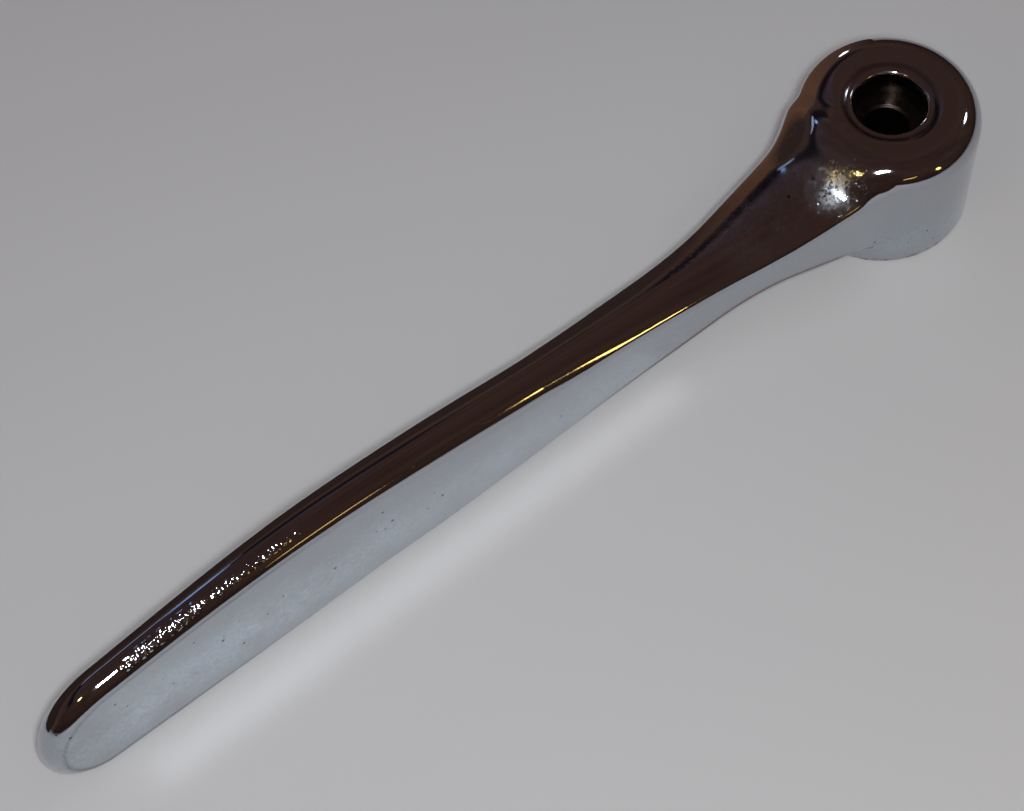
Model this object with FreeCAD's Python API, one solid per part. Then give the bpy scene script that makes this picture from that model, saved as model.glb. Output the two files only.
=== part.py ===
import FreeCAD, Part
import math
import os

# A one-handed winch handle: a bronze lever casting with a round boss at one end and a deep, thin
# grip at the other, and a hard drive bush pressed up into the boss and locked there by two pins.
#
# Frame, in millimetres: the origin is where the spindle axis meets the boss's foot. +Z runs up the
# spindle axis, and +X runs from the spindle to the end of the grip. The handle is symmetric in Y.

# ---- boss ----
BOSS_RADIUS = 18.25
BOSS_HEIGHT = 29.1
BOSS_TOP_EDGE = 5.2       # rounding of the boss's top rim
BOSS_FOOT_EDGE = 0.8
ROOT_FILLET = 2.0         # hollow corner where the lever runs into the boss

# ---- lever ----
LEVER_LENGTH = 203.2      # spindle axis to the end of the grip, 8 inches
ROOT_START = 5.0          # where the lever begins, hidden inside the boss
NOSE_TOP_START = 184.5    # where the top begins to turn down into the nose
NOSE_FOOT_START = 190.5   # where the underside begins to turn up into the nose
NOSE_HEIGHT = 13.3        # height of the nose's foremost point
NOSE_TOP_SLOPE = -0.135   # fall of the top line where the nose begins
NOSE_CUT = 0.08           # depth of the small flat that closes the nose

# Lines of the lever as (distance from the spindle axis, value): half the width, the height of the
# top line and the height of the underside.
HALF_WIDTH = [(5, 13.0), (14, 12.75), (18, 11.9), (27, 10.35), (36, 8.9), (46, 7.2), (55, 6.25),
              (73, 5.35), (91, 5.05), (110, 4.9), (128, 4.6), (146, 4.3), (164, 3.9), (184, 3.55),
              (203.2, 3.4)]
TOP_LINE = [(5, 28.3), (10, 28.5), (14, 27.6), (18, 25.9), (27, 23.0), (36, 21.5), (46, 20.8), (55, 21.0),
            (73, 23.0), (91, 25.5), (110, 28.6), (128, 30.9), (146, 32.0), (164, 31.1),
            (184.5, 28.6)]
UNDERSIDE = [(5, 4.6), (18, 4.9), (27, 6.7), (36, 8.3), (46, 7.2), (55, 5.4), (73, 3.4), (91, 1.9),
             (110, 1.2), (128, 0.8), (146, 0.4), (164, 0.1), (178, 0.0), (190.5, 0.0)]

# How the four long edges are rounded, as (distance, value). The crown is the arc across the top or
# the underside: its value is half the width over the arc's radius, so 1 would be a half circle.
# The corner is the radius that joins the crown to the flat side.
TOP_CROWN = [(36, 0.53), (91, 0.966)]
TOP_CORNER = [(36, 2.0), (91, 0.36)]
FOOT_CROWN = [(55, 0.17), (130, 0.966)]
FOOT_CORNER = [(55, 2.2), (91, 3.6), (130, 0.36)]

# ---- bore, bush and pins ----
COUNTERBORE_RADIUS = 7.4
COUNTERBORE_DEPTH = 7.6
COUNTERBORE_LIP = 0.7     # chamfer round the mouth
BUSH_RADIUS = 12.0
FOOT_RECESS = 0.6         # how far the bush and its pins stay inside the boss's foot
SCREW_HOLE_RADIUS = 4.4
SQUARE_WIDTH = 12.8       # across the flats: a 12.7 mm (half inch) spindle square with clearance
SQUARE_DEPTH = 15.0
SQUARE_LEAD_IN = 0.8      # chamfer round the square's mouth
PIN_RADIUS = 2.0
PIN_LENGTH = 12.0
PIN_SIDES = {"lock_pin_port": 1, "lock_pin_starboard": -1}

BUSH_TOP = BOSS_HEIGHT - COUNTERBORE_DEPTH
UP = FreeCAD.Vector(0, 0, 1)


def cylinder(radius, bottom, top, x=0.0, y=0.0):
    return Part.makeCylinder(radius, top - bottom, FreeCAD.Vector(x, y, bottom), UP)


def cone(low_radius, high_radius, bottom, top):
    return Part.makeCone(low_radius, high_radius, top - bottom, FreeCAD.Vector(0, 0, bottom), UP)


# ---- lines of the lever ----

def natural_spline(points):
    """A smooth curve through the points, straight at its ends, as a function of distance."""
    xs = [float(p[0]) for p in points]
    ys = [float(p[1]) for p in points]
    last = len(xs) - 1
    gap = [xs[i + 1] - xs[i] for i in range(last)]
    bend = [0.0] * (last + 1)
    ratio = [0.0] * (last + 1)
    carry = [0.0] * (last + 1)
    for i in range(1, last):
        rise = (ys[i + 1] - ys[i]) / gap[i] - (ys[i] - ys[i - 1]) / gap[i - 1]
        pivot = 2.0 * (gap[i - 1] + gap[i]) - gap[i - 1] * ratio[i - 1]
        ratio[i] = gap[i] / pivot
        carry[i] = (6.0 * rise - gap[i - 1] * carry[i - 1]) / pivot
    for i in range(last - 1, 0, -1):
        bend[i] = carry[i] - ratio[i] * bend[i + 1]

    def value(x):
        i = 0
        while i < last - 1 and x > xs[i + 1]:
            i += 1
        before = x - xs[i]
        after = xs[i + 1] - x
        cubic = (bend[i] * after ** 3 + bend[i + 1] * before ** 3) / (6.0 * gap[i])
        low = ys[i] / gap[i] - bend[i] * gap[i] / 6.0
        high = ys[i + 1] / gap[i] - bend[i + 1] * gap[i] / 6.0
        return cubic + low * after + high * before

    return value


def ramp(points, x):
    """Straight lines through the points, level beyond the first and the last."""
    if x <= points[0][0]:
        return points[0][1]
    for (x0, y0), (x1, y1) in zip(points, points[1:]):
        if x <= x1:
            return y0 + (y1 - y0) * (x - x0) / (x1 - x0)
    return points[-1][1]


half_width_line = natural_spline(HALF_WIDTH)
top_line = natural_spline(TOP_LINE)
underside_line = natural_spline(UNDERSIDE)


def nose_drop(x, start):
    """How far a quarter ellipse has turned in, from 0 at start to 1 at the end of the lever."""
    along = (x - start) / (LEVER_LENGTH - start)
    return 1.0 - math.sqrt(max(0.0, 1.0 - along * along))


def top_at(x):
    if x <= NOSE_TOP_START:
        return top_line(x)
    straight = top_line(NOSE_TOP_START) + NOSE_TOP_SLOPE * (x - NOSE_TOP_START)
    reach = top_line(NOSE_TOP_START) + NOSE_TOP_SLOPE * (LEVER_LENGTH - NOSE_TOP_START) - NOSE_HEIGHT
    return straight - reach * nose_drop(x, NOSE_TOP_START)


def underside_at(x):
    if x <= NOSE_FOOT_START:
        return underside_line(x)
    return NOSE_HEIGHT * nose_drop(x, NOSE_FOOT_START)


def half_width_at(x):
    """Half the width, rounded in over the last few millimetres as the rim turns round the nose."""
    wide = half_width_line(x)
    rim = wide / TOP_CROWN[-1][1]
    left = LEVER_LENGTH - x
    if left >= rim:
        return wide
    return min(wide, math.sqrt(rim * rim - (rim - left) ** 2))


# ---- cross-sections ----

def rim_points(half_width, crown_share, corner):
    """One rounded edge in the plane of a section, as (across, depth below the crown line).

    It gives the middle of the crown, where the crown meets the corner, the corner's middle, and
    where the corner meets the flat side."""
    crown = half_width / crown_share
    corner = min(corner, 0.6 * half_width)
    across = half_width - corner
    depth = crown - math.sqrt((crown - corner) ** 2 - across ** 2)
    lean = math.atan2(across, crown - depth)
    middle = 0.5 * (lean + math.pi / 2)
    meets_crown = (crown * math.sin(lean), crown - crown * math.cos(lean))
    corner_middle = (across + corner * math.sin(middle), depth - corner * math.cos(middle))
    return meets_crown, corner_middle, (half_width, depth)


def section(place, x=None):
    """The closed outline of the lever at a distance from the spindle axis."""
    x = place if x is None else x
    half_width = half_width_at(x)
    high = top_at(x)
    low = underside_at(x)
    top_rim = rim_points(half_width, ramp(TOP_CROWN, x), ramp(TOP_CORNER, x))
    foot_rim = rim_points(half_width, ramp(FOOT_CROWN, x), ramp(FOOT_CORNER, x))

    def at(side, across, height):
        return FreeCAD.Vector(place, side * across, height)

    def upper(side, n):
        return at(side, top_rim[n][0], high - top_rim[n][1])

    def lower(side, n):
        return at(side, foot_rim[n][0], low + foot_rim[n][1])

    edges = [
        Part.Arc(upper(-1, 0), at(0, 0, high), upper(1, 0)).toShape(),
        Part.Arc(upper(1, 0), upper(1, 1), upper(1, 2)).toShape(),
        Part.makeLine(upper(1, 2), lower(1, 2)),
        Part.Arc(lower(1, 2), lower(1, 1), lower(1, 0)).toShape(),
        Part.Arc(lower(1, 0), at(0, 0, low), lower(-1, 0)).toShape(),
        Part.Arc(lower(-1, 0), lower(-1, 1), lower(-1, 2)).toShape(),
        Part.makeLine(lower(-1, 2), upper(-1, 2)),
        Part.Arc(upper(-1, 2), upper(-1, 1), upper(-1, 0)).toShape(),
    ]
    return Part.Wire(edges)


# ---- the pieces ----

def make_lever():
    """The lever, lofted through its sections, closed by a very small flat at the nose."""
    along = [ROOT_START, 14, 18, 22, 27, 36, 46, 55, 64, 73, 82, 91, 100, 110, 119, 128, 137, 146,
             155, 164, 174, 184.5]
    from_end = [14.5, 11.0, 8.0, 5.5, 3.6, 2.2, 1.2, 0.5]
    wires = [section(x) for x in along]
    wires += [section(LEVER_LENGTH - left) for left in from_end]
    wires.append(section(LEVER_LENGTH, LEVER_LENGTH - NOSE_CUT))
    return Part.makeLoft(wires, True, False)


def make_boss():
    boss = cylinder(BOSS_RADIUS, 0.0, BOSS_HEIGHT)
    boss = boss.makeFillet(BOSS_TOP_EDGE, circles_at(boss, BOSS_HEIGHT))
    return boss.makeFillet(BOSS_FOOT_EDGE, circles_at(boss, 0.0))


def circles_at(shape, height):
    """The edges of a shape that lie flat at one height."""
    close = 1e-6
    return [e for e in shape.Edges
            if abs(e.BoundBox.ZMin - height) < close and abs(e.BoundBox.ZMax - height) < close]


def make_bore():
    """The stepped hole through the boss: counterbore, mouth chamfer and bush seat."""
    above = 1.0
    bore = cylinder(COUNTERBORE_RADIUS, BUSH_TOP - above, BOSS_HEIGHT + above)
    mouth = cone(COUNTERBORE_RADIUS, COUNTERBORE_RADIUS + COUNTERBORE_LIP + above,
                 BOSS_HEIGHT - COUNTERBORE_LIP, BOSS_HEIGHT + above)
    seat = cylinder(BUSH_RADIUS, -above, BUSH_TOP)
    return bore.fuse([mouth, seat])


def make_pin(side, overshoot=0.0):
    """A round pin that stands half in the casting and half in the bush, to one side of the axis."""
    return cylinder(PIN_RADIUS, FOOT_RECESS - overshoot, FOOT_RECESS + PIN_LENGTH,
                    y=side * BUSH_RADIUS)


def pin_holes():
    holes = [make_pin(side, overshoot=FOOT_RECESS + 1.0) for side in PIN_SIDES.values()]
    return holes[0].fuse(holes[1:])


def root_edges(body):
    """The edges where the lever's lofted faces run into the boss's round ones."""
    found = []
    for edge in body.Edges:
        owners = [f for f in body.Faces if any(edge.isSame(other) for other in f.Edges)]
        lofted = [isinstance(f.Surface, Part.BSplineSurface) for f in owners]
        if lofted.count(True) == 1 and edge.BoundBox.XMax < 2.0 * BOSS_RADIUS:
            found.append(edge)
    return found


def make_casting():
    body = make_boss().fuse(make_lever()).removeSplitter()
    body = body.makeFillet(ROOT_FILLET, root_edges(body))
    body.fix(1e-3, 1e-3, 1e-2)
    body = body.cut(make_bore())
    body = body.cut(pin_holes())
    return body.removeSplitter()


def square_prism(width, bottom, top):
    half = width / 2.0
    corner = FreeCAD.Vector(-half, -half, bottom)
    return Part.makeBox(width, width, top - bottom, corner, UP)


def make_bush():
    """The drive bush: a square socket from below, and a web with a screw hole above it."""
    square_top = FOOT_RECESS + SQUARE_DEPTH
    bush = cylinder(BUSH_RADIUS, FOOT_RECESS, BUSH_TOP)
    bush = bush.cut(square_prism(SQUARE_WIDTH, FOOT_RECESS - 1.0, square_top))
    lead_in = cone(SQUARE_WIDTH / math.sqrt(2) + SQUARE_LEAD_IN, SQUARE_WIDTH / math.sqrt(2),
                   FOOT_RECESS, FOOT_RECESS + SQUARE_LEAD_IN)
    bush = bush.cut(lead_in)
    bush = bush.cut(cylinder(SCREW_HOLE_RADIUS, square_top - 1.0, BUSH_TOP + 1.0))
    return bush.cut(pin_holes())


def save(name, shape):
    shape.exportStep(os.path.join("parts", name + ".step"))
    print(name, "solids", len(shape.Solids), "valid", shape.isValid(), "mm3", round(shape.Volume, 1))


os.makedirs("parts", exist_ok=True)
save("handle_casting", make_casting())
save("drive_bush", make_bush())
for name, side in PIN_SIDES.items():
    save(name, make_pin(side))
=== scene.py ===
import math

import bmesh
import bpy
import numpy as np
from mathutils import Matrix, Vector


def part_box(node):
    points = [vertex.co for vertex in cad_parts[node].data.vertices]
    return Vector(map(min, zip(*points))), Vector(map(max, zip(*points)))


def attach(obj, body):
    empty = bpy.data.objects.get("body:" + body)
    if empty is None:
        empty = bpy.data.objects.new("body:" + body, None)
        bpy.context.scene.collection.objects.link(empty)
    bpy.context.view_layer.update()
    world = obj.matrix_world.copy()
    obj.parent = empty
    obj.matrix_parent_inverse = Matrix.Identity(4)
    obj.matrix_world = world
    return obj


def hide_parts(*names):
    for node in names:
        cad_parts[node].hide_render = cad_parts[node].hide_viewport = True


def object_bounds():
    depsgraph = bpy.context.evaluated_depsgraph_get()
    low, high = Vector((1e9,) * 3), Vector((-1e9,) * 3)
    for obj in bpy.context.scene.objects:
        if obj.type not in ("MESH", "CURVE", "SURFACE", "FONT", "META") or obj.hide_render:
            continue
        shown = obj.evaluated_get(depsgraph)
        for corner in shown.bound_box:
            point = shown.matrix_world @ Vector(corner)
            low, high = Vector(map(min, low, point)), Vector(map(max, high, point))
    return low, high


# A chromed winch handle: one cast lever with a round boss, a hard drive bush pressed up into the
# boss, and two pins that lock the bush. Shapes are worked out in millimetres in the CAD frame
# (origin on the boss's foot, +Z up the spindle axis, +X to the end of the grip) and made in metres.

MM = 0.001

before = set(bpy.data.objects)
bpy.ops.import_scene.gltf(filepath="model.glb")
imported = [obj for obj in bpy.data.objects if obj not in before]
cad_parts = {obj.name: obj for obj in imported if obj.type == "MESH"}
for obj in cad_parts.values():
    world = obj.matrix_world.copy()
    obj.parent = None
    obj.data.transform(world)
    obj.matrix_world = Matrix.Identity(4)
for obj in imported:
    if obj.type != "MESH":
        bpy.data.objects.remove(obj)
CAD_LOW, CAD_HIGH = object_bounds()
BOSS_LOW, BUSH_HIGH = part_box("handle_casting")[0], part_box("drive_bush")[1]
BUSH_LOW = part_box("drive_bush")[0]

# ---- sizes of the casting, mm ----
BOSS_RADIUS = -BOSS_LOW.x / MM
BOSS_HEIGHT = 29.1
BOSS_TOP_EDGE = 5.2           # rounding of the boss's top rim
ARM_TOP_EDGE = 3.9            # how much rounder the rim is where it faces the lever
ARM_TOP_SPREAD = 28.0         # and over what angle to port, degrees
ARM_TOP_SPREAD_REAR = 62.0    # and to starboard, where it was polished away further
BOSS_FOOT_EDGE = 0.8
ROOT_BLEND = [(14, 1.8), (25, 4.0)]   # how softly the lever runs into the boss, by height
ROOT_BLEND_REAR = [(6, 3.0), (14, 7.0), (25, 8.0)]
ROOT_BLEND_LEAST = 1.0        # the blend where the lever starts inside the boss
ROOT_BLEND_RUN = 9.0          # and how far along the lever it takes to grow
SIDE_FADE = 11.0              # width of the strip where one side's rounding turns into the other's
LEVER_LENGTH = CAD_HIGH.x / MM
ROOT_START = 5.0
NOSE_TOP_START = 189.5
NOSE_FOOT_START = 190.5
NOSE_HEIGHT = 13.3
NOSE_TOP_SLOPE = -0.135

# Lines of the lever as (distance from the spindle axis, value).
HALF_WIDTH = [(5, 13.0), (14, 12.75), (18, 11.9), (27, 10.35), (36, 8.9), (46, 7.2), (55, 6.25),
              (73, 5.35), (91, 5.05), (110, 4.9), (128, 4.6), (146, 4.3), (164, 3.9), (184, 3.55),
              (203.2, 3.4)]
TOP_LINE = [(5, 24.5), (10, 26.3), (14, 27.0), (18, 25.6), (27, 23.0), (36, 21.5), (46, 20.8),
            (55, 21.0), (73, 23.0), (91, 25.5), (110, 28.6), (128, 30.9), (146, 32.0), (164, 31.1),
            (184.5, 28.6)]
UNDERSIDE = [(5, 4.6), (18, 4.9), (27, 6.7), (36, 8.3), (46, 7.2), (55, 5.4), (73, 3.4),
             (91, 1.9), (110, 1.2), (128, 0.8), (146, 0.4), (164, 0.1), (178, 0.0), (190.5, 0.0)]
TOP_CROWN = [(36, 0.53), (91, 0.966)]      # half the width over the crown's radius
TOP_CORNER = [(36, 2.4), (91, 2.1)]        # radius between the crown and the flat side
TOP_CORNER_REAR = [(12, 6.5), (22, 5.0), (40, 4.0), (64, 2.4), (91, 2.1)]
FOOT_CROWN = [(55, 0.17), (130, 0.966)]
FOOT_CORNER = [(55, 2.2), (91, 3.0), (130, 2.1)]
# The flat sides are ground a little hollow towards the nose, inside a border.
PANEL_BORDER = 2.3
PANEL_EDGE = 0.9
PANEL_DEPTH = 0.16
PANEL_FROM = 120.0
PANEL_FADE = 50.0

# ---- sizes of the bore, the bush and the pins, mm ----
BORE_RADIUS = 7.15
BORE_LIP = 0.95                # radius of the ring round the mouth
BORE_LIP_START = 78.0          # where its round begins, degrees up from level
LIP_PLATED_BELOW = 0.3         # how far the plating runs down the bore under the ring
DISH_RADIUS = 6.0              # the hollow round the ring, as an arc of this radius
DISH_SLOPES = (6.0, 22.0)      # its slope at its outer and inner edge, degrees
DISH_INNER = 8.6
BUSH_RADIUS = BUSH_HIGH.y / MM
BUSH_TOP = BUSH_HIGH.z / MM
BUSH_FOOT = BUSH_LOW.z / MM
SEAT_CHAMFER = 0.35
SCREW_HOLE_RADIUS = 4.4
SQUARE_WIDTH = 12.8
SQUARE_CORNER = 0.5
SQUARE_DEPTH = 15.0
SQUARE_LEAD_IN = 0.8
PIN_RADIUS = 2.0
PIN_LENGTH = 12.0
PIN_CHAMFER = 0.25
PIN_DIMPLE_RADIUS = 0.8
PIN_DIMPLE_SHOULDER = 0.55
PIN_DIMPLE_DEPTH = 0.35
SCREW_HOLE_EDGE = 0.5
FIT_GAP = 0.01                 # clearance between the pieces, so that no two faces coincide
PAST = 1.0                     # how far a cutter reaches past the skin that it cuts

# ---- mesh, mm ----
CELL = 0.5
MARGIN = 1.5 * CELL            # grid left free round the casting
GRADIENT_STEP = 0.12
RELAX_ROUNDS = 4
RELAX_STEP = 0.5
LATHE_STEPS = 192
SMALL_LATHE_STEPS = 48
SHARP_ANGLE = math.radians(25)


# ---------------------------------------------------------------------------------------------
# Lines of the lever
# ---------------------------------------------------------------------------------------------

class Spline:
    """A natural cubic spline through points, with its value and its slope."""

    def __init__(self, points):
        self.x = np.array([p[0] for p in points], float)
        self.y = np.array([p[1] for p in points], float)
        gap = np.diff(self.x)
        n = len(self.x)
        rows = np.eye(n)
        rise = np.zeros(n)
        for i in range(1, n - 1):
            rows[i, i - 1] = gap[i - 1]
            rows[i, i] = 2 * (gap[i - 1] + gap[i])
            rows[i, i + 1] = gap[i]
            steep = (self.y[i + 1] - self.y[i]) / gap[i]
            steep_before = (self.y[i] - self.y[i - 1]) / gap[i - 1]
            rise[i] = 6 * (steep - steep_before)
        self.bend = np.linalg.solve(rows, rise)

    def _parts(self, x):
        i = np.clip(np.searchsorted(self.x, x, side="right") - 1, 0, len(self.x) - 2)
        gap = self.x[i + 1] - self.x[i]
        return i, gap, x - self.x[i], self.x[i + 1] - x

    def value(self, x):
        i, gap, before, after = self._parts(x)
        cubic = (self.bend[i] * after ** 3 + self.bend[i + 1] * before ** 3) / (6 * gap)
        low = self.y[i] / gap - self.bend[i] * gap / 6
        high = self.y[i + 1] / gap - self.bend[i + 1] * gap / 6
        return cubic + low * after + high * before

    def slope(self, x):
        i, gap, before, after = self._parts(x)
        cubic = (self.bend[i + 1] * before ** 2 - self.bend[i] * after ** 2) / (2 * gap)
        low = self.y[i] / gap - self.bend[i] * gap / 6
        high = self.y[i + 1] / gap - self.bend[i + 1] * gap / 6
        return cubic + high - low


def ramp(points, x):
    return np.interp(x, [p[0] for p in points], [p[1] for p in points])


half_width_line = Spline(HALF_WIDTH)
top_line = Spline(TOP_LINE)
underside_line = Spline(UNDERSIDE)
NOSE_TOP = float(top_line.value(np.array(NOSE_TOP_START)))
NOSE_REACH = NOSE_TOP + NOSE_TOP_SLOPE * (LEVER_LENGTH - NOSE_TOP_START) - NOSE_HEIGHT


def beyond_ellipse(along, up, half_long, half_high):
    """How far outside an ellipse round the origin a point is, close to the ellipse."""
    k0 = np.hypot(along / half_long, up / half_high)
    k1 = np.hypot(along / half_long ** 2, up / half_high ** 2)
    return k0 * (k0 - 1) / np.maximum(k1, 1e-9)


def beyond_top(x, z):
    """How far above the lever's top line a point is."""
    inner = np.clip(x, ROOT_START, NOSE_TOP_START)
    plain = (z - top_line.value(inner)) / np.sqrt(1 + top_line.slope(inner) ** 2)
    past = np.maximum(x - NOSE_TOP_START, 0.0)
    up = np.maximum(z - NOSE_TOP_SLOPE * past - (NOSE_TOP - NOSE_REACH), 0.0)
    nose = beyond_ellipse(past, up, LEVER_LENGTH - NOSE_TOP_START, NOSE_REACH)
    nose = nose / math.sqrt(1 + NOSE_TOP_SLOPE ** 2)
    return np.where(x > NOSE_TOP_START, nose, plain)


def beyond_underside(x, z):
    """How far below the lever's underside a point is."""
    inner = np.clip(x, ROOT_START, NOSE_FOOT_START)
    plain = (underside_line.value(inner) - z) / np.sqrt(1 + underside_line.slope(inner) ** 2)
    past = np.maximum(x - NOSE_FOOT_START, 0.0)
    down = np.maximum(NOSE_HEIGHT - z, 0.0)
    nose = beyond_ellipse(past, down, LEVER_LENGTH - NOSE_FOOT_START, NOSE_HEIGHT)
    return np.where(x > NOSE_FOOT_START, nose, plain)


def beyond_rim(across, beyond, half_width, crown_share, corner):
    """Distance outside a rounded edge: a flat side, a corner arc and a crown arc over the top."""
    crown = half_width / crown_share
    depth = np.maximum(beyond + crown, 0.0)
    level = np.sqrt((crown - corner) ** 2 - (half_width - corner) ** 2)
    side = across - half_width
    over = np.hypot(across, depth) - crown
    from_side = across - (half_width - corner)
    from_level = depth - level
    tilt_y = (half_width - corner) / (crown - corner)
    tilt_z = level / (crown - corner)
    in_corner = (from_level > 0) & (from_side * tilt_z - from_level * tilt_y > 0)
    return np.where(in_corner, np.hypot(from_side, from_level) - corner, np.maximum(side, over))


def eased(share):
    share = np.clip(share, 0.0, 1.0)
    return share * share * (3 - 2 * share)


def starboard(y):
    """1 on the rear side of the handle, 0 on the other, and even between."""
    return eased(0.5 - y / SIDE_FADE)


def beyond_lever(x, y, z):
    near = np.clip(x, ROOT_START, LEVER_LENGTH)
    half_width = half_width_line.value(near)
    across = np.abs(y)
    rear = starboard(y)
    corner = ramp(TOP_CORNER, x) * (1 - rear) + ramp(TOP_CORNER_REAR, x) * rear
    top = beyond_rim(across, beyond_top(x, z), half_width, ramp(TOP_CROWN, x), corner)
    foot = beyond_rim(across, beyond_underside(x, z), half_width, ramp(FOOT_CROWN, x),
                      ramp(FOOT_CORNER, x))
    inset = -np.maximum(beyond_top(x, z), beyond_underside(x, z)) - PANEL_BORDER
    panel = PANEL_DEPTH * eased(inset / PANEL_EDGE) * eased((x - PANEL_FROM) / PANEL_FADE)
    return np.maximum(np.maximum(top, foot) + panel, ROOT_START - x)


def beyond_boss(x, y, z):
    out = np.hypot(x, y) - BOSS_RADIUS
    azimuth = np.degrees(np.arctan2(y, x))
    spread = np.where(azimuth > 0, ARM_TOP_SPREAD, ARM_TOP_SPREAD_REAR)
    edge = BOSS_TOP_EDGE + ARM_TOP_EDGE * np.exp(-(azimuth / spread) ** 2)

    def rounded(up, radius):
        near = np.minimum(np.maximum(out, up), 0.0)
        corner = np.hypot(np.maximum(out + radius, 0.0), np.maximum(up + radius, 0.0)) - radius
        return np.where((out > -radius) & (up > -radius), corner, near + np.maximum(
            np.maximum(out, up), 0.0))

    return np.maximum(rounded(z - BOSS_HEIGHT, edge), rounded(-z, BOSS_FOOT_EDGE))


def beyond_casting(x, y, z):
    """Signed distance, near enough, from the skin of the casting before it is bored."""
    lever = beyond_lever(x, y, z)
    boss = beyond_boss(x, y, z)
    rear = starboard(y)
    soft = ramp(ROOT_BLEND, z) * (1 - rear) + ramp(ROOT_BLEND_REAR, z) * rear
    reach = eased((x - ROOT_START) / ROOT_BLEND_RUN)
    blend = ROOT_BLEND_LEAST + (soft - ROOT_BLEND_LEAST) * reach
    join = np.maximum(blend - np.abs(lever - boss), 0.0) / blend
    return np.minimum(lever, boss) - join * join * blend / 4


def casting_normals(points):
    """Unit normals of the casting's skin at points close to it."""
    step = GRADIENT_STEP
    grad = np.empty_like(points)
    for axis in range(3):
        ahead = points.copy()
        behind = points.copy()
        ahead[:, axis] += step
        behind[:, axis] -= step
        grad[:, axis] = beyond_casting(*ahead.T) - beyond_casting(*behind.T)
    return grad / np.maximum(np.linalg.norm(grad, axis=1, keepdims=True), 1e-9)


# ---------------------------------------------------------------------------------------------
# The casting's mesh
# ---------------------------------------------------------------------------------------------

def surface_net(field, low, high, cell):
    """Vertices and quads where field crosses zero, on a grid of cubes."""
    axes = [np.arange(low[i], high[i] + cell, cell) for i in range(3)]
    values = np.empty([len(a) for a in axes], np.float32)
    ys, zs = np.meshgrid(axes[1], axes[2], indexing="ij")
    for i, x in enumerate(axes[0]):
        values[i] = field(np.full_like(ys, x), ys, zs)
    inside = values < 0
    cells = tuple(n - 1 for n in values.shape)
    corners = [(i, j, k) for i in (0, 1) for j in (0, 1) for k in (0, 1)]

    def shifted(data, c):
        return data[c[0]:c[0] + cells[0], c[1]:c[1] + cells[1], c[2]:c[2] + cells[2]]

    count = sum(shifted(inside, c).astype(np.int8) for c in corners)
    active = (count > 0) & (count < 8)
    number = np.full(cells, -1, np.int64)
    number[active] = np.arange(active.sum())
    total = np.zeros((int(active.sum()), 3))
    hits = np.zeros(int(active.sum()))
    for a in corners:
        for axis in range(3):
            if a[axis]:
                continue
            b = list(a)
            b[axis] = 1
            va, vb = shifted(values, a)[active], shifted(values, b)[active]
            cross = (va < 0) != (vb < 0)
            share = np.where(cross, va / np.where(cross, va - vb, 1.0), 0.0)
            place = np.tile(np.array(a, float), (len(va), 1))
            place[:, axis] = share
            total += place * cross[:, None]
            hits += cross
    base = np.argwhere(active)
    origin = np.array([a[0] for a in axes])
    verts = origin + cell * (base + total / hits[:, None])

    faces = []
    for axis in range(3):
        u, v = (axis + 1) % 3, (axis + 2) % 3
        here = [slice(None)] * 3
        there = [slice(None)] * 3
        here[axis], there[axis] = slice(0, -1), slice(1, None)
        a, b = inside[tuple(here)], inside[tuple(there)]
        spot = np.argwhere(a != b)
        keep = (spot[:, u] > 0) & (spot[:, v] > 0)
        keep &= (spot[:, u] < cells[u]) & (spot[:, v] < cells[v])
        spot = spot[keep]
        leaves = a[tuple(spot.T)]
        ring = []
        for du, dv in ((-1, -1), (0, -1), (0, 0), (-1, 0)):
            s = spot.copy()
            s[:, u] += du
            s[:, v] += dv
            ring.append(number[tuple(s.T)])
        quads = np.stack(ring, 1)
        quads[~leaves] = quads[~leaves][:, ::-1]
        faces.append(quads)
    return verts, np.concatenate(faces)


def relax(verts, quads, rounds):
    """Evens the mesh out along the skin and pulls it back onto the skin."""
    pairs = np.concatenate([quads[:, [i, (i + 1) % 4]] for i in range(4)])
    count = np.bincount(pairs[:, 0], minlength=len(verts))
    for _ in range(rounds):
        mean = np.stack([np.bincount(pairs[:, 0], verts[pairs[:, 1], i], len(verts))
                         for i in range(3)], 1) / count[:, None]
        normal = casting_normals(verts)
        move = (mean - verts) * RELAX_STEP
        move -= normal * np.sum(move * normal, 1, keepdims=True)
        verts = verts + move
        for _ in range(2):
            normal = casting_normals(verts)
            verts = verts - normal * beyond_casting(*verts.T)[:, None]
    return verts


def new_object(name, mesh):
    obj = bpy.data.objects.new(name, mesh)
    bpy.context.scene.collection.objects.link(obj)
    return obj


def mesh_from(name, verts_mm, faces):
    mesh = bpy.data.meshes.new(name)
    mesh.from_pydata([tuple(v * MM for v in p) for p in verts_mm], [],
                     [tuple(int(i) for i in f) for f in faces])
    mesh.validate()
    return mesh


def lathe(name, profile, axis=(0.0, 0.0), steps=LATHE_STEPS):
    """A closed solid turned about a vertical axis. The profile starts and ends on the axis."""
    ring_start = []
    verts = []
    for radius, height in profile:
        ring_start.append(len(verts))
        if radius < 1e-6:
            verts.append((axis[0], axis[1], height))
            continue
        for s in range(steps):
            turn = 2 * math.pi * s / steps
            verts.append((axis[0] + radius * math.cos(turn), axis[1] + radius * math.sin(turn),
                          height))
    faces = []
    for i in range(len(profile) - 1):
        a, b = ring_start[i], ring_start[i + 1]
        for s in range(steps):
            t = (s + 1) % steps
            if profile[i][0] < 1e-6:
                faces.append((a, b + t, b + s))
            elif profile[i + 1][0] < 1e-6:
                faces.append((a + s, a + t, b))
            else:
                faces.append((a + s, a + t, b + t, b + s))
    mesh = mesh_from(name, verts, faces)
    bm = bmesh.new()
    bm.from_mesh(mesh)
    bmesh.ops.recalc_face_normals(bm, faces=bm.faces)
    bm.to_mesh(mesh)
    bm.free()
    return new_object(name, mesh)


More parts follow.
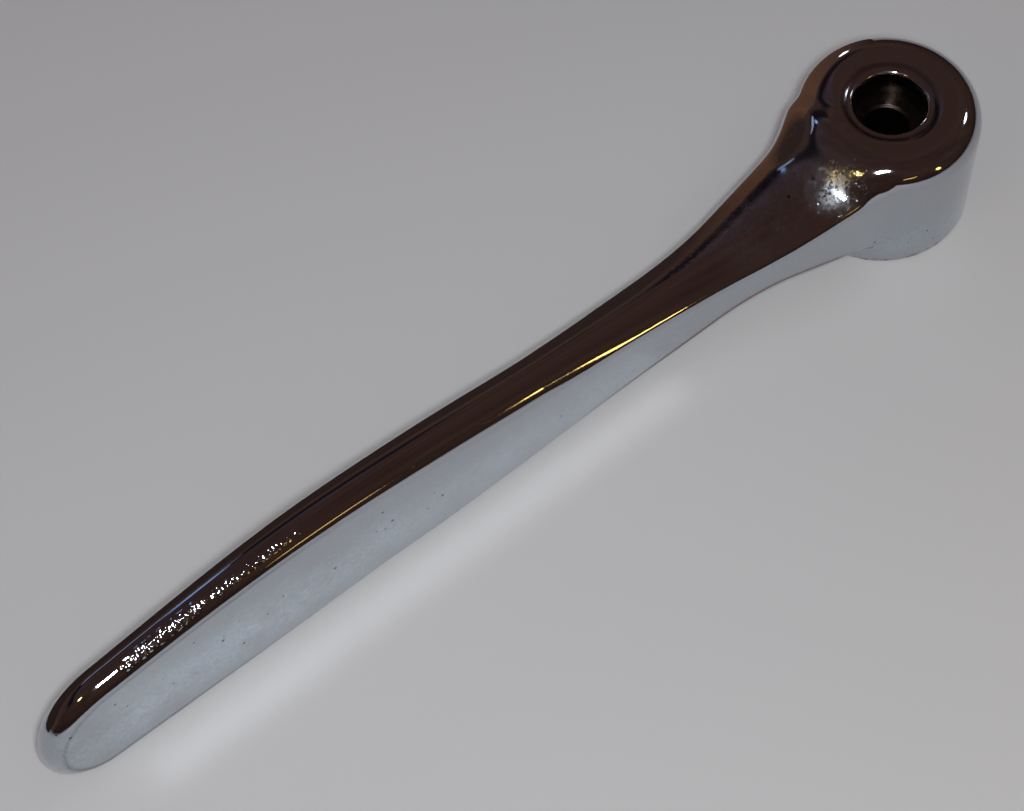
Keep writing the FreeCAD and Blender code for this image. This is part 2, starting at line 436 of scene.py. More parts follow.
def arc(centre, radius, start, end, steps):
    """Points of a profile's arc, from angle start to angle end in degrees."""
    angles = [math.radians(start + (end - start) * i / steps) for i in range(steps + 1)]
    return [(centre[0] + radius * math.cos(a), centre[1] + radius * math.sin(a)) for a in angles]


def cut(target, tools):
    """Cuts the tools out of the target and removes them. The cut faces keep the tools' material."""
    for tool in tools:
        modifier = target.modifiers.new("cut", "BOOLEAN")
        modifier.operation = "DIFFERENCE"
        modifier.solver = "EXACT"
        modifier.material_mode = "TRANSFER"
        modifier.object = tool
    bpy.context.view_layer.update()
    graph = bpy.context.evaluated_depsgraph_get()
    mesh = bpy.data.meshes.new_from_object(target.evaluated_get(graph), depsgraph=graph)
    target.modifiers.clear()
    target.data = mesh
    for tool in tools:
        bpy.data.objects.remove(tool)


def bore_tool():
    """The counterbore with its worn lip, the bush's seat and the small chamfer at the foot."""
    outer, inner = (math.radians(slope) for slope in DISH_SLOPES)
    dish_centre = (DISH_INNER + DISH_RADIUS * math.sin(inner),
                   BOSS_HEIGHT - DISH_RADIUS * math.cos(outer))
    dish = arc(dish_centre, DISH_RADIUS, 90 + DISH_SLOPES[0], 90 + DISH_SLOPES[1], 10)
    lip_centre = (BORE_RADIUS + BORE_LIP,
                  dish[-1][1] - BORE_LIP * math.sin(math.radians(BORE_LIP_START)))
    lip = arc(lip_centre, BORE_LIP, BORE_LIP_START, 180, 16)
    run = 2.0
    mouth = (dish[0][0] + run, dish[0][1] + run * math.tan(outer))
    profile = [(0, mouth[1]), mouth, *dish, *lip, (BORE_RADIUS, lip_centre[1] - LIP_PLATED_BELOW),
               (BORE_RADIUS, BUSH_TOP), (BUSH_RADIUS, BUSH_TOP), (BUSH_RADIUS, SEAT_CHAMFER),
               (BUSH_RADIUS + SEAT_CHAMFER + PAST, -PAST), (0, -PAST)]
    return lathe("bore_tool", profile), lip_centre, dish_centre


def pin_tool(side):
    top = BUSH_FOOT + PIN_LENGTH
    return lathe("pin_tool", [(0, top), (PIN_RADIUS, top), (PIN_RADIUS, -PAST), (0, -PAST)],
                 axis=(0.0, side * BUSH_RADIUS), steps=SMALL_LATHE_STEPS)


def values_of(items, key, width=1, kind=float):
    """A value, or a row of several, for each vertex, loop or face of a mesh."""
    values = np.empty(len(items) * width, kind)
    items.foreach_get(key, values)
    return values.reshape(-1, width) if width > 1 else values


def casting_loop_normals(mesh, lip_centre, dish_centre):
    """A normal for each face corner: the skin's own on the skin, the turned shape's in the bore."""
    verts = values_of(mesh.vertices, "co", 3) / MM
    corner = values_of(mesh.loops, "vertex_index", kind=np.int32)
    sizes = values_of(mesh.polygons, "loop_total", kind=np.int32)
    material = values_of(mesh.polygons, "material_index", kind=np.int32)
    owner = np.repeat(np.arange(len(sizes)), sizes)
    face = values_of(mesh.polygons, "normal", 3)[owner]
    middle = values_of(mesh.polygons, "center", 3)[owner] / MM
    skin = casting_normals(verts)[corner]
    place = verts[corner]

    side = np.sign(middle[:, 1])
    from_pin = np.hypot(middle[:, 0], middle[:, 1] - side * BUSH_RADIUS)
    near, steep = 0.1, 0.5
    in_pin_hole = (np.abs(from_pin - PIN_RADIUS) < near) & (np.abs(face[:, 2]) < steep)
    centre = np.zeros_like(place[:, :2])
    centre[in_pin_hole, 1] = side[in_pin_hole] * BUSH_RADIUS
    spoke = place[:, :2] - centre
    spoke /= np.maximum(np.linalg.norm(spoke, axis=1, keepdims=True), 1e-9)
    outward = np.sign(np.sum(spoke * face[:, :2], 1))
    level = np.sqrt(np.maximum(1 - face[:, 2] ** 2, 0.0))
    turned = np.column_stack([spoke * (outward * level)[:, None], face[:, 2]])

    radius = np.hypot(place[:, 0], place[:, 1])
    centre_radius = np.hypot(middle[:, 0], middle[:, 1])
    bored = turned
    lip_end = DISH_INNER - 0.35
    on_lip = (middle[:, 2] > lip_centre[1]) & (centre_radius < lip_end)
    on_dish = (middle[:, 2] > lip_centre[1]) & (centre_radius > DISH_INNER)
    for where, centre in ((on_lip, lip_centre), (on_dish, dish_centre)):
        round_normal = np.column_stack([spoke * (radius - centre[0])[:, None],
                                        place[:, 2] - centre[1]])
        round_normal /= np.maximum(np.linalg.norm(round_normal, axis=1, keepdims=True), 1e-9)
        bored = np.where(where[:, None], round_normal, bored)
    return np.where((material[owner] > 0)[:, None], bored, skin)


def build_casting(materials):
    low = (-BOSS_RADIUS - MARGIN, -BOSS_RADIUS - MARGIN, -MARGIN)
    high = (LEVER_LENGTH + MARGIN, BOSS_RADIUS + MARGIN, CAD_HIGH.z / MM + MARGIN)
    verts, quads = surface_net(beyond_casting, low, high, CELL)
    verts = relax(verts, quads, RELAX_ROUNDS)
    verts = np.clip(verts, np.array(CAD_LOW) / MM, np.array(CAD_HIGH) / MM)
    mesh = mesh_from("casting", verts, quads)
    casting = new_object("casting", mesh)
    casting.data.materials.append(materials["chrome"])
    bore, lip_centre, dish_centre = bore_tool()
    bore.data.materials.append(materials["bore"])
    bore.data.materials.append(materials["lip"])
    for face in bore.data.polygons:
        face.material_index = int(face.center.z > (lip_centre[1] - LIP_PLATED_BELOW) * MM)
    pins = [pin_tool(side) for side in (1, -1)]
    for pin in pins:
        pin.data.materials.append(materials["bore"])
    cut(casting, [bore, *pins])
    normals = casting_loop_normals(casting.data, lip_centre, dish_centre)
    casting.data.shade_smooth()
    casting.data.normals_split_custom_set(normals.tolist())
    return casting


# ---------------------------------------------------------------------------------------------
# The bush and the pins
# ---------------------------------------------------------------------------------------------

def square_tool():
    """The broached square, with slightly rounded corners."""
    inner = SQUARE_WIDTH / 2 - SQUARE_CORNER
    corners = ((1, 1), (-1, 1), (-1, -1), (1, -1))
    outline = []
    for turn, (side_x, side_y) in enumerate(corners):
        middle = (inner * side_x, inner * side_y)
        outline += arc(middle, SQUARE_CORNER, 90 * turn, 90 * turn + 90, 6)
    top = BUSH_FOOT + SQUARE_DEPTH
    verts = [(x, y, BUSH_FOOT - PAST) for x, y in outline] + [(x, y, top) for x, y in outline]
    n = len(outline)
    faces = [tuple(reversed(range(n))), tuple(range(n, 2 * n))]
    faces += [(i, (i + 1) % n, n + (i + 1) % n, n + i) for i in range(n)]
    return new_object("square_tool", mesh_from("square_tool", verts, faces))


def build_bush(materials):
    """The drive bush: chamfered ring, square socket below, web with the screw hole above."""
    c = SEAT_CHAMFER
    hole = SCREW_HOLE_RADIUS
    edge = SCREW_HOLE_EDGE
    out = BUSH_RADIUS - FIT_GAP
    square_top = BUSH_FOOT + SQUARE_DEPTH
    lead_top = BUSH_FOOT + SQUARE_LEAD_IN
    body = [(0, BUSH_TOP), (out - c, BUSH_TOP), (out, BUSH_TOP - c), (out, BUSH_FOOT + c),
            (out - c, BUSH_FOOT), (0, BUSH_FOOT)]
    bush = lathe("bush", body)
    bush.data.materials.append(materials["bush"])
    screw = lathe("screw_tool", [(0, BUSH_TOP + PAST), (hole + edge + PAST, BUSH_TOP + PAST),
                                 (hole, BUSH_TOP - edge), (hole, square_top - PAST),
                                 (0, square_top - PAST)], steps=LATHE_STEPS // 2)
    corner = SQUARE_WIDTH / math.sqrt(2)
    lead = lathe("lead_tool", [(0, lead_top), (corner, lead_top),
                               (corner + SQUARE_LEAD_IN + PAST, BUSH_FOOT - PAST),
                               (0, BUSH_FOOT - PAST)], steps=LATHE_STEPS // 2)
    tools = [square_tool(), screw, lead]
    tools += [pin_tool(side) for side in (1, -1)]
    for tool in tools:
        tool.data.materials.append(materials["bush"])
    cut(bush, tools)
    bush.data.shade_smooth()
    bush.data.set_sharp_from_angle(angle=SHARP_ANGLE)
    return bush


def build_pin(name, side, materials):
    """A dowel pin with chamfered ends and a dimple where it was driven in."""
    c = PIN_CHAMFER
    r = PIN_RADIUS - FIT_GAP
    low = BUSH_FOOT
    high = BUSH_FOOT + PIN_LENGTH - FIT_GAP
    dimple = [(PIN_DIMPLE_RADIUS, low), (PIN_DIMPLE_SHOULDER, low + 0.7 * PIN_DIMPLE_DEPTH),
              (0, low + PIN_DIMPLE_DEPTH)]
    profile = [(0, high), (r - c, high), (r, high - c), (r, low + c), (r - c, low), *dimple]
    pin = lathe(name, profile, axis=(0.0, side * BUSH_RADIUS), steps=SMALL_LATHE_STEPS)
    pin.data.materials.append(materials["pin"])
    pin.data.shade_smooth()
    pin.data.set_sharp_from_angle(angle=SHARP_ANGLE)
    return pin


# ---------------------------------------------------------------------------------------------
# Materials
# ---------------------------------------------------------------------------------------------

CHROME = (0.50, 0.53, 0.57)
HAZY_CHROME = (0.62, 0.73, 0.83)
STAINED_CHROME = (0.30, 0.33, 0.36)
BARE_BRONZE = (0.20, 0.105, 0.068)
# Dirt in pits and in the bore, and painted shade in the chrome's hollows.
GRIME_AND_SHADE = (0.030, 0.022, 0.018)
DULL_BRONZE = (0.085, 0.062, 0.050)
DARK_STEEL = (0.125, 0.115, 0.105)
PIN_STEEL = (0.33, 0.32, 0.31)

# Where the plating is pitted: (start, end, radius, strength), points in mm. Each is a rounded bar.
PITTED = [((17, 6, 25), (21, 6, 23.5), 5.5, 1.0), ((28, 2, 22.5), (36, 3, 21.5), 6.0, 0.45),
          ((34, -3.5, 21), (54, -1.5, 21), 1.8, 0.9), ((15, -9, 27), (26, -7.5, 22.5), 1.6, 0.8)]
# Where it has the fine rough grain that breaks a reflection into sparkles.
PEBBLED = [((146, 1.7, 32), (168, 1.7, 30.5), 1.0, 0.8),
           ((168, 1.6, 30.5), (184, 1.6, 28.5), 1.4, 1.0)]
# Where the plating is scuffed dull and catches the light in one ragged patch.
SCUFFED = [((18, 6, 25), (21.5, 6, 23.4), 2.7, 1.0)]
# Where it is hazed by old polish and fine scratches.
HAZED = [((24, -1, 23), (40, 1, 21.5), 7.0, 0.8), ((130, 4.6, 14), (196, 3.5, 13), 9.0, 0.8),
         ((60, 5.5, 10), (130, 4.8, 12), 7.0, 0.45), ((10, 15, 8), (-6, 17, 6), 5.0, 0.6)]
# Painted shade, a brown line and wear, mm. A band is given by its middle and its half width.
# Painted shade: a dark ring in the hollow round the bore, heavier on one side, and a dark line in
# the crease round the flat sides' panels.
SHADE_RING = (DISH_INNER + 0.45, 0.55)           # by the distance from the spindle axis
SHADE_CREASE = (PANEL_BORDER + PANEL_EDGE / 2, 0.35)   # by the distance from the side's outline
SHADE_TOWARDS = (0.8, 0.6)                       # the way the side of the ring with the most painted shade faces
BROWN_LINE_PLACE = (2.1, 0.80)                       # by the height above the underside
BROWN_LINE_RUN = (17, 23, 67, 92)                   # it starts, is full, starts to fade and ends
WORN_FOOT = (0.6, 0.7)                           # by the height
WORN_NOSE = 5.0                                  # how far from the end of the nose
WORN_EDGE_TOP = 9.0                              # how high the lower edges are worn
LIP_SCUFF = 0.35                                 # how scuffed the ring is, 0 to 1
SCUFFED_SHARE = 0.28                             # how much roughness the scuffs add


class Graph:
    """Builds the nodes of a material or a world."""

    def __init__(self, owner):
        owner.use_nodes = True
        self.owner = owner
        self.tree = owner.node_tree
        self.shader = self.tree.nodes.get("Principled BSDF")
        self.coordinates = self.node("ShaderNodeTexCoord").outputs

    def put(self, socket, value):
        """Links a socket to another one, or sets it to a number or a colour."""
        if isinstance(value, bpy.types.NodeSocket):
            self.tree.links.new(value, socket)
        else:
            socket.default_value = (*value, 1) if isinstance(value, tuple) else value

    def node(self, kind, inputs=None, **settings):
        node = self.tree.nodes.new(kind)
        for key, value in settings.items():
            setattr(node, key, value)
        for key, value in (inputs or {}).items():
            if isinstance(value, bpy.types.NodeSocket):
                self.tree.links.new(value, node.inputs[key])
            else:
                node.inputs[key].default_value = value
        return node

    def millimetres(self, stretch=(1, 1, 1)):
        """The place on the part in mm, stretched so that features grow along an axis."""
        scale = [1 / (MM * s) for s in stretch]
        settings = {"Vector": self.coordinates["Object"], "Scale": scale}
        return self.node("ShaderNodeMapping", settings).outputs["Vector"]

    def split(self, vector):
        """The x, y and z of a vector."""
        return self.node("ShaderNodeSeparateXYZ", {"Vector": vector}).outputs

    def noise(self, size, detail=3.0, rough=0.5, stretch=(1, 1, 1)):
        """Noise with features of a size in mm, 0 to 1."""
        settings = {"Vector": self.millimetres(stretch), "Scale": 1 / size, "Detail": detail,
                    "Roughness": rough}
        return self.node("ShaderNodeTexNoise", settings).outputs["Fac"]

    def attribute(self, name):
        return self.node("ShaderNodeAttribute", attribute_name=name).outputs["Fac"]

    def math(self, operation, a, b=0.0):
        return self.node("ShaderNodeMath", {0: a, 1: b}, operation=operation).outputs[0]

    def times(self, a, b):
        return self.math("MULTIPLY", a, b)

    def spread(self, value, low, high, to_low=0.0, to_high=1.0, smooth=True):
        """Maps low..high onto to_low..to_high and clamps."""
        kind = "SMOOTHSTEP" if smooth else "LINEAR"
        settings = {"Value": value, "From Min": low, "From Max": high, "To Min": to_low,
                    "To Max": to_high}
        return self.node("ShaderNodeMapRange", settings, interpolation_type=kind).outputs["Result"]

    def mix(self, factor, a, b):
        """The colour a where the factor is 0 and b where it is 1."""
        node = self.node("ShaderNodeMix", data_type="RGBA")
        for key, value in (("Factor_Float", factor), ("A_Color", a), ("B_Color", b)):
            self.put(next(s for s in node.inputs if s.identifier == key), value)
        return next(s for s in node.outputs if s.identifier == "Result_Color")

    def ramp(self, value, stops):
        """A colour for each value, by stops of (value, colour)."""
        node = self.node("ShaderNodeValToRGB", {"Fac": value})
        elements = node.color_ramp.elements
        while len(elements) < len(stops):
            elements.new(0.5)
        for element, (place, colour) in zip(elements, stops):
            element.position = place
            element.color = (*colour, 1)
        return node.outputs["Color"]

    def dots(self, spacing, radius, share, seed=0.0):
        """Round pits: 1 at the middle of each, 0 outside. Only a share of the cells has one."""
        offset = self.node("ShaderNodeVectorMath", {0: self.millimetres(), 1: (seed, seed, seed)},
                           operation="ADD").outputs[0]
        cell = self.node("ShaderNodeTexVoronoi", {"Vector": offset, "Scale": 1 / spacing})
        chance = self.node("ShaderNodeSeparateColor", {"Color": cell.outputs["Color"]})
        size = self.spread(chance.outputs[0], 1 - share, 1.0, 0.0, radius / spacing, smooth=False)
        near = self.math("DIVIDE", cell.outputs["Distance"], self.math("MAXIMUM", size, 1e-4))
        return self.spread(near, 1.0, 0.25)

    def bump(self, height, depth, normal=None):
        """Raises the surface by depth in mm where height is 1."""
        inputs = {"Height": height, "Distance": depth * MM, "Strength": 1.0}
        if normal is not None:
            inputs["Normal"] = normal
        return self.node("ShaderNodeBump", inputs).outputs["Normal"]

    def feed(self, key, value):
        self.put(self.shader.inputs[key], value)


def new_material(name):
    return Graph(bpy.data.materials.new(name))


def chrome_pits(g, pitted, pebbled, fine_cloud):
    """Small and tiny pits where the skin is rough, and a few stray ones anywhere."""
    rough_skin = g.math("MAXIMUM", pitted, pebbled)
    where = g.spread(g.math("ADD", rough_skin, g.times(fine_cloud, 0.5)), 0.55, 0.95)
    small = g.times(g.dots(0.75, 0.30, 0.75), where)
    tiny = g.times(g.dots(0.42, 0.17, 0.8, 7.0), where)
    stray = g.dots(3.2, 0.30, 0.30, 3.0)
    return small, tiny, stray


def chrome_relief(g, pitted, pebbled, haze, pits):
    """The plating's long waves, the rough patches, the fine unevenness and the pits."""
    rough_patch = g.times(g.noise(0.62, 1.0, 0.5), g.spread(pitted, 0.25, 0.75))
    grain = g.times(g.noise(0.72, 0.0, 0.5), g.spread(pebbled, 0.25, 0.75))
    polish = g.times(g.noise(0.55, 2.0), g.math("ADD", haze, 0.15))
    normal = g.bump(g.noise(11.0, 1.0, 0.4), 0.050)
    normal = g.bump(rough_patch, 0.030, normal)
    normal = g.bump(grain, 0.26, normal)
    normal = g.bump(g.noise(2.6, 2.0, 0.5), 0.007, normal)
    normal = g.bump(polish, 0.006, normal)
    return g.bump(g.math("SUBTRACT", 1.0, pits), 0.045, normal)


def chrome_material(name):
    """Old chrome plate: bright, a little wavy, hazed in places, pitted and worn on some edges."""
    g = new_material(name)
    pitted, hazed, pebbled = g.attribute("pitted"), g.attribute("hazed"), g.attribute("pebbled")
    cloud = g.noise(9.0, 4.0, 0.6)
    fine_cloud = g.noise(1.6, 4.0, 0.65)
    clouds = g.math("ADD", cloud, g.times(fine_cloud, 0.5))
    haze = g.times(hazed, g.spread(clouds, 0.55, 0.95))
    small, tiny, stray = chrome_pits(g, pitted, pebbled, fine_cloud)
    wear = g.times(g.attribute("worn"), g.spread(g.noise(1.1, 5.0, 0.7), 0.50, 0.62))
    # Painted shade in the hollow round the ring and in the flat sides' crease; it roughens the
    # chrome too.
    painted_hollow_shade = g.times(g.attribute("painted_hollow_shade"), g.spread(fine_cloud, 0.30, 0.50, 0.55, 1.0))
    scuffed = g.times(g.attribute("scuffed"), g.spread(g.noise(0.8, 3.0, 0.7), 0.32, 0.52))
    scratch = g.spread(g.noise(0.35, 2.0, 0.5, stretch=(14, 1, 1)), 0.58, 0.75)
    specks = g.times(g.dots(1.9, 0.55, 0.25, 11.0), g.spread(hazed, 0.05, 0.30))
    mottle = g.times(g.spread(g.noise(0.9, 5.0, 0.75), 0.38, 0.62), 0.30)

    colour = g.mix(g.times(haze, 0.8), CHROME, HAZY_CHROME)
    colour = g.mix(g.times(mottle, g.math("ADD", hazed, 0.25)), colour, STAINED_CHROME)
    # Bare bronze's colour where the plating is worn through, and along a brown line at the foot of
    # the neck.
    colour = g.mix(g.math("MAXIMUM", wear, g.attribute("brown_line")), colour, BARE_BRONZE)
    for amount, low, high, share in ((stray, 0.4, 0.9, 0.85), (specks, 0.3, 0.7, 0.85),
                                     (small, 0.5, 1.0, 0.35)):
        colour = g.mix(g.times(g.spread(amount, low, high), share), colour, GRIME_AND_SHADE)
    # Painted shade: the hollow round the ring and the flat sides' crease are darkened here.
    g.feed("Base Color", g.mix(g.times(painted_hollow_shade, 0.85), colour, GRIME_AND_SHADE))
    g.feed("Metallic", 1.0)
    rough = g.math("ADD", 0.055, g.times(haze, 0.17))
    for amount, share in ((scratch, 0.05), (wear, 0.18), (scuffed, SCUFFED_SHARE), (painted_hollow_shade, 0.15)):
        rough = g.math("ADD", rough, g.times(amount, share))
    g.feed("Roughness", g.math("MINIMUM", rough, 0.5))
    pits = g.math("MAXIMUM", g.math("MAXIMUM", small, tiny), stray)
    g.feed("Normal", chrome_relief(g, pitted, pebbled, haze, pits))
    return g.owner


def bore_material():
    """The counterbore: bare bronze gone dark, with turning marks round it and grime."""
    g = new_material("bore")
    rings = g.noise(0.28, 2.0, 0.5, stretch=(60, 60, 1))
    grime = g.spread(g.noise(2.2, 4.0, 0.6), 0.42, 0.62)
    g.feed("Base Color", g.mix(grime, DULL_BRONZE, GRIME_AND_SHADE))
    g.feed("Metallic", 1.0)
    g.feed("Roughness", g.math("ADD", 0.22, g.times(grime, 0.25)))
    g.feed("Normal", g.bump(rings, 0.02))
    return g.owner


def turned_steel(name, steel, pitch):
    """Steel with fine tool marks and oil-dark patches."""
    g = new_material(name)
    x, y, z = g.split(g.millimetres())
    radius = g.math("SQRT", g.math("ADD", g.times(x, x), g.times(y, y)))
    groove = g.math("SINE", g.times(g.math("ADD", radius, z), 2 * math.pi / pitch))
    patch = g.noise(3.0, 4.0, 0.6)
    dark = g.spread(patch, 0.45, 0.70)
    g.feed("Base Color", g.mix(dark, steel, tuple(0.35 * c for c in steel)))
    g.feed("Metallic", 1.0)
    g.feed("Roughness", g.math("ADD", 0.24, g.times(patch, 0.22)))
    normal = g.bump(groove, 0.004)
    g.feed("Normal", g.bump(g.noise(0.5, 2.0), 0.008, normal))
    return g.owner


def floor_material():
    g = new_material("plain_floor")
    g.feed("Base Color", FLOOR_COLOUR)
    g.feed("Roughness", 0.95)
    g.feed("Specular IOR Level", 0.0)
    return g.owner


def board_material():
    """Glows, with colours that change along the board."""
    g = new_material("board")
    x = g.split(g.coordinates["Object"])["X"]
    along = g.spread(x, BOARD_START * MM, BOARD_END * MM, smooth=False)
    glow = g.node("ShaderNodeEmission", {"Color": g.ramp(along, BOARD_COLOURS)})
    g.put(g.tree.nodes["Material Output"].inputs["Surface"], glow.outputs[0])
    g.tree.nodes.remove(g.shader)
    return g.owner


def near_bars(points, bars):
    """For each point, how near it is to a list of rounded bars, 0 to the bar's strength."""
    total = np.zeros(len(points))
    for start, end, radius, strength in bars:
        a, b = np.array(start, float), np.array(end, float)
        share = np.clip((points - a) @ (b - a) / max((b - a) @ (b - a), 1e-9), 0, 1)
        away = np.linalg.norm(points - a - share[:, None] * (b - a), axis=1)
        total = np.maximum(total, strength * np.exp(-(away / radius) ** 2))
    return total


def band(value, place, power=2):
    """1 in the middle of a band and 0 outside it. The place is its middle and its half width."""
    middle, width = place
    return np.exp(-np.abs((value - middle) / width) ** power)


def paint(mesh, name, values):
    attribute = mesh.attributes.new(name, "FLOAT", "POINT")
    attribute.data.foreach_set("value", values.astype(np.float32))


def painted_hollow_shade_marks(x, y, z, normal):
    """Painted shade in the ring's hollow, heavier towards +X+Y, and in the rim of the flat sides.
    """
    radius = np.hypot(x, y)
    towards = (SHADE_TOWARDS[0] * x + SHADE_TOWARDS[1] * y) / np.maximum(radius, 1e-6)
    facing = 0.45 + 0.55 * np.clip(towards + 0.4, 0, 1)
    ring = band(radius, SHADE_RING) * (z > BOSS_HEIGHT - 1.0)
    inset = -np.maximum(beyond_top(x, z), beyond_underside(x, z))
    crease = band(inset, SHADE_CREASE) * eased((x - PANEL_FROM) / PANEL_FADE)
    crease *= np.abs(normal[:, 1]) > 0.9
    return np.maximum(ring * facing, 0.55 * crease)


def brown_line_marks(x, z):
    """A brown line along the foot of the neck."""
    start, full, fade, end = BROWN_LINE_RUN
    line = band(-beyond_underside(x, z), BROWN_LINE_PLACE, power=4)
    return line * eased((x - start) / (full - start)) * eased((end - x) / (end - fade))


def worn_marks(x, y, z, normal):
    """Bronze shows at the boss's foot, under the nose and along the lever's lower edges."""
    foot_rim = band(z, WORN_FOOT) * (np.hypot(x, y) > BUSH_RADIUS + 1)
    nose = band(x, (LEVER_LENGTH, WORN_NOSE)) * np.clip(-normal[:, 2] * 1.5, 0, 1)
    lower_edge = (np.abs(normal[:, 2] + 0.45) < 0.30) * (z < WORN_EDGE_TOP) * 0.6
    return np.clip(0.9 * foot_rim + nose + lower_edge, 0, 1)


def paint_casting(mesh):
    """Marks pits, haze, worn-through plating, scuffs, painted shade in hollows and a brown line."""
    points = values_of(mesh.vertices, "co", 3) / MM
    x, y, z = points.T
    normal = casting_normals(points)
    lip = (np.hypot(x, y) < DISH_INNER) & (z > BUSH_TOP + 1)
    paint(mesh, "pitted", near_bars(points, PITTED))
    paint(mesh, "hazed", near_bars(points, HAZED))
    # Painted shade in the hollow round the ring and in the crease of the flat sides.
    paint(mesh, "painted_hollow_shade", painted_hollow_shade_marks(x, y, z, normal))
    paint(mesh, "brown_line", brown_line_marks(x, z))
    paint(mesh, "worn", worn_marks(x, y, z, normal))
    paint(mesh, "scuffed", np.maximum(near_bars(points, SCUFFED), LIP_SCUFF * lip))
    paint(mesh, "pebbled", near_bars(points, PEBBLED))


materials = {
    "chrome": chrome_material("chrome"),
    "lip": chrome_material("chrome_lip"),
    "bore": bore_material(),
    "bush": turned_steel("bush", DARK_STEEL, 0.5),
    "pin": turned_steel("pin", PIN_STEEL, 0.4),
}

casting = build_casting(materials)
paint_casting(casting.data)
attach(casting, "root")
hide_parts("handle_casting")
bush = build_bush(materials)
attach(bush, "root")
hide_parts("drive_bush")
for node, side in (("lock_pin_port", 1), ("lock_pin_starboard", -1)):
    pin = build_pin("pin_" + node.split("_")[-1], side, materials)
    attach(pin, "root")
    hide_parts(node)


# ---------------------------------------------------------------------------------------------
# Floor, light and camera
# ---------------------------------------------------------------------------------------------

FLOOR_SIZE = 6.0              # metres
FLOOR_COLOUR = (0.74, 0.745, 0.75)

CAMERA_AIM = Vector((94.38, -1.49, 14.5)) * MM
CAMERA_DISTANCE = 526.3 * MM
CAMERA_AZIMUTH = 51.76        # degrees from +X towards +Y
CAMERA_ELEVATION = 59.9
CAMERA_ROLL = math.radians(-1.63)
CAMERA_LENS = 98.35
SENSOR_WIDTH = 36.0

# (name, azimuth, elevation, distance m, width m, height m, radiance, seen in reflections)
# The key lights the scene, and the flash is that lamp as the chrome reflects it.
LIGHTS = [
    ("key", 54, 60, 0.56, 0.056, 0.056, (182, 188, 194), False),
    ("flash", 54, 61, 0.56, 0.060, 0.060, (98, 99, 102), True),
    ("lamp_high", 12, 49, 1.0, 0.10, 0.10, (7.5, 5.2, 2.0), True),
    ("window_rear", -76, 40, 1.0, 0.50, 0.055, (0.42, 0.46, 0.60), True),
    ("window_tip", -86, 45, 1.0, 0.12, 0.09, (0.30, 0.52, 1.00), True),
    ("glint_back", 175, 36, 1.0, 0.11, 0.11, (6, 6.2, 6.6), True),
    ("soft_left", 165, 60, 1.4, 1.2, 1.2, (0.20, 0.21, 0.23), False),
    ("soft_right", -25, 60, 1.4, 1.2, 1.2, (0.20, 0.21, 0.23), False),
    ("soft_front", 80, 50, 1.4, 1.2, 1.2, (0.20, 0.21, 0.23), False),
]
# Lights close to the handle, mm: name, place, aim, width, height, radiance, seen in the chrome.
NEAR_LIGHTS = [
    ("lamp_low", (-51, 221, 105), (57, 5.4, 19.3), 20, 40, (4.4, 2.8, 0.72), True),
    ("lamp_far", (78, 224, 112), (146, 4, 31), 84, 8, (2.6, 1.6, 0.45), True),
    ("glint_rear", (-20, -47, 43), (-4, -14, 29), 5.5, 5.5, (6, 6.2, 6.5), True),
    ("beside_grip", (124, 9.8, 11), (124, 9.8, 0), 126, 4, (0.24, 0.25, 0.27), False),
    ("beside_nose", (168, 10.5, 11), (168, 10.5, 0), 40, 4, (0.22, 0.23, 0.25), False),
]
BESIDE_SPREAD = math.radians(62)

# A low board behind the handle, mm. Only its reflection shows.
BOARD_Y = -48.0
BOARD_START = -40.0
BOARD_END = 360.0
BOARD_HEIGHT = 50.0
BOARD_COLOURS = [(0.0, (0.030, 0.018, 0.016)), (0.05, (0.095, 0.048, 0.034)),
                 (0.140, (0.155, 0.071, 0.041)), (0.180, (0.042, 0.024, 0.020)),
                 (1.0, (0.028, 0.017, 0.015))]


def direction(azimuth, elevation):
    """A unit vector; azimuth in degrees from +X towards +Y, elevation in degrees."""
    a, e = math.radians(azimuth), math.radians(elevation)
    return Vector((math.cos(a) * math.cos(e), math.sin(a) * math.cos(e), math.sin(e)))


def add_camera():
    data = bpy.data.cameras.new("camera")
    data.lens = CAMERA_LENS
    data.sensor_width = SENSOR_WIDTH
    data.clip_start = 0.01
    camera = bpy.data.objects.new("camera", data)
    bpy.context.scene.collection.objects.link(camera)
    back = direction(CAMERA_AZIMUTH, CAMERA_ELEVATION)
    camera.location = CAMERA_AIM + back * CAMERA_DISTANCE
    level = (-back).to_track_quat("-Z", "Y")
    camera.rotation_mode = "QUATERNION"
    camera.rotation_quaternion = level @ Matrix.Rotation(CAMERA_ROLL, 3, "Z").to_quaternion()
    bpy.context.scene.camera = camera


def add_light(name, place, aim, width, height, radiance, glossy):
    """A flat elliptical light that faces a point. Radiance is what a mirror would show of it."""
    data = bpy.data.lights.new(name, "AREA")
    data.shape = "ELLIPSE"
    data.size, data.size_y = width, height
    peak = max(radiance)
    data.color = [c / peak for c in radiance]
    data.energy = peak * math.pi * (math.pi * width * height / 4)
    light = bpy.data.objects.new(name, data)
    bpy.context.scene.collection.objects.link(light)
    light.location = place
    light.rotation_mode = "QUATERNION"
    light.rotation_quaternion = (aim - place).to_track_quat("-Z", "Y")
    light.visible_camera = False
    light.visible_glossy = glossy
    return light


def add_lights():
    centre = (CAD_LOW + CAD_HIGH) / 2
    for name, azimuth, elevation, distance, width, height, radiance, glossy in LIGHTS:
        place = centre + direction(azimuth, elevation) * distance
        add_light(name, place, centre, width, height, radiance, glossy)
    for name, place, aim, width, height, radiance, glossy in NEAR_LIGHTS:
        light = add_light(name, Vector(place) * MM, Vector(aim) * MM, width * MM, height * MM,
                          radiance, glossy)
        if name.startswith("beside"):
            light.data.shape = "RECTANGLE"
            light.data.spread = BESIDE_SPREAD
    bpy.data.objects["flash"].visible_diffuse = False


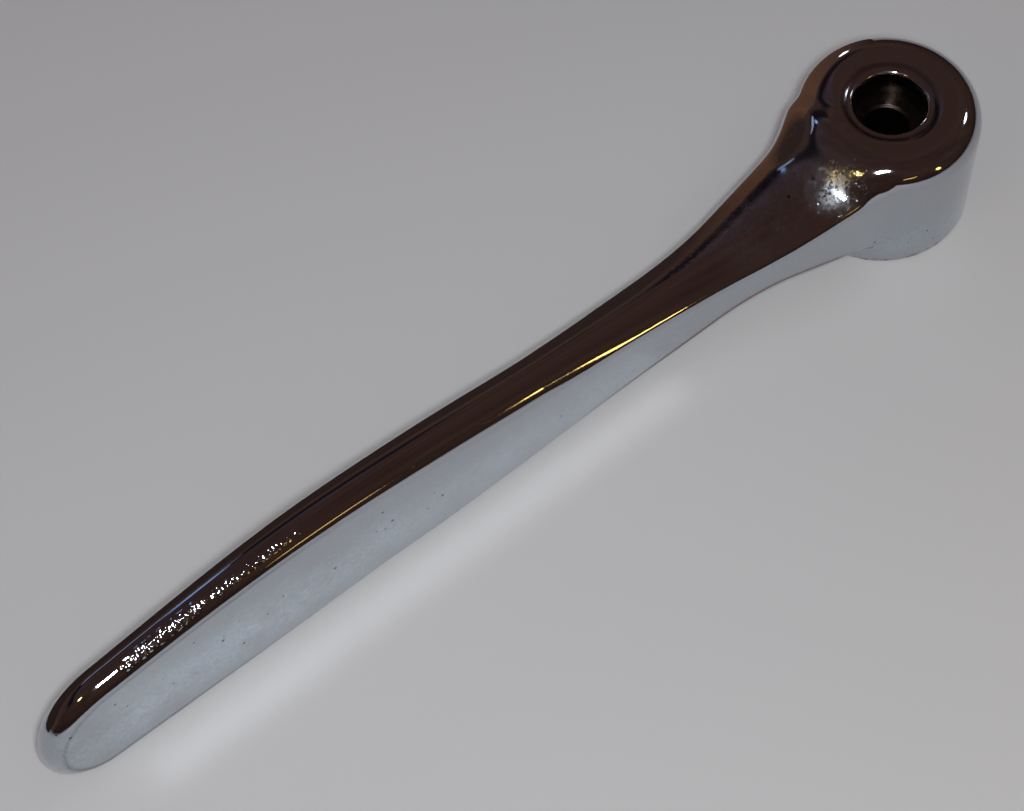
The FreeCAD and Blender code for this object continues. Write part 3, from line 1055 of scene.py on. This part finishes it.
def add_board():
    corners = [(BOARD_START, BOARD_Y, 0), (BOARD_END, BOARD_Y, 0),
               (BOARD_END, BOARD_Y, BOARD_HEIGHT), (BOARD_START, BOARD_Y, BOARD_HEIGHT)]
    board = new_object("board", mesh_from("board", corners, [(0, 1, 2, 3)]))
    board.data.materials.append(board_material())
    board.visible_camera = False
    board.visible_diffuse = False
    board.visible_shadow = False


def add_floor():
    mesh = bpy.data.meshes.new("floor")
    half = FLOOR_SIZE / 2
    mesh.from_pydata([(-half, -half, 0), (half, -half, 0), (half, half, 0), (-half, half, 0)], [],
                     [(0, 1, 2, 3)])
    floor = new_object("floor", mesh)
    floor.data.materials.append(floor_material())


# What the polished faces see of the room: colours by the height of the direction, 0 level to 1 up.
ROOM_REAR = [(0.0, (0.070, 0.040, 0.032)), (0.30, (0.072, 0.040, 0.031)),
             (0.54, (0.060, 0.034, 0.028)), (0.61, (0.012, 0.008, 0.010)),
             (0.69, (0.012, 0.008, 0.010)), (0.76, (0.062, 0.040, 0.045)),
             (0.92, (0.055, 0.029, 0.026))]
ROOM_PLAIN = [(0.0, (0.024, 0.013, 0.010)), (0.25, (0.042, 0.022, 0.017)),
              (0.6, (0.055, 0.029, 0.021)), (0.92, (0.053, 0.026, 0.021))]
ROOM_TURN = (0.05, -0.20)     # where the plain room turns into its rear, by the direction's y
REAR_END = (1.02, 0.80)       # and where the rear ends, by the direction's x over y


def add_world():
    """A dim brown room, seen only in the polished metal."""
    world = bpy.data.worlds.new("room")
    bpy.context.scene.world = world
    g = Graph(world)
    towards = g.coordinates["Generated"]
    x, y, z = g.split(towards)
    rear = g.spread(y, *ROOM_TURN)
    lean = g.math("DIVIDE", x, g.math("MINIMUM", y, -0.02))
    before_end = g.spread(lean, *REAR_END)
    colour = g.mix(g.times(rear, before_end), g.ramp(z, ROOM_PLAIN), g.ramp(z, ROOM_REAR))
    mottle = g.node("ShaderNodeTexNoise", {"Vector": towards, "Scale": 3.0}).outputs["Fac"]
    background = g.tree.nodes["Background"]
    g.put(background.inputs["Color"], colour)
    g.put(background.inputs["Strength"], g.spread(mottle, 0.3, 0.7, 0.75, 1.2, smooth=False))


add_camera()
add_world()
add_lights()
add_floor()
add_board()
bpy.context.scene.view_settings.view_transform = "Standard"
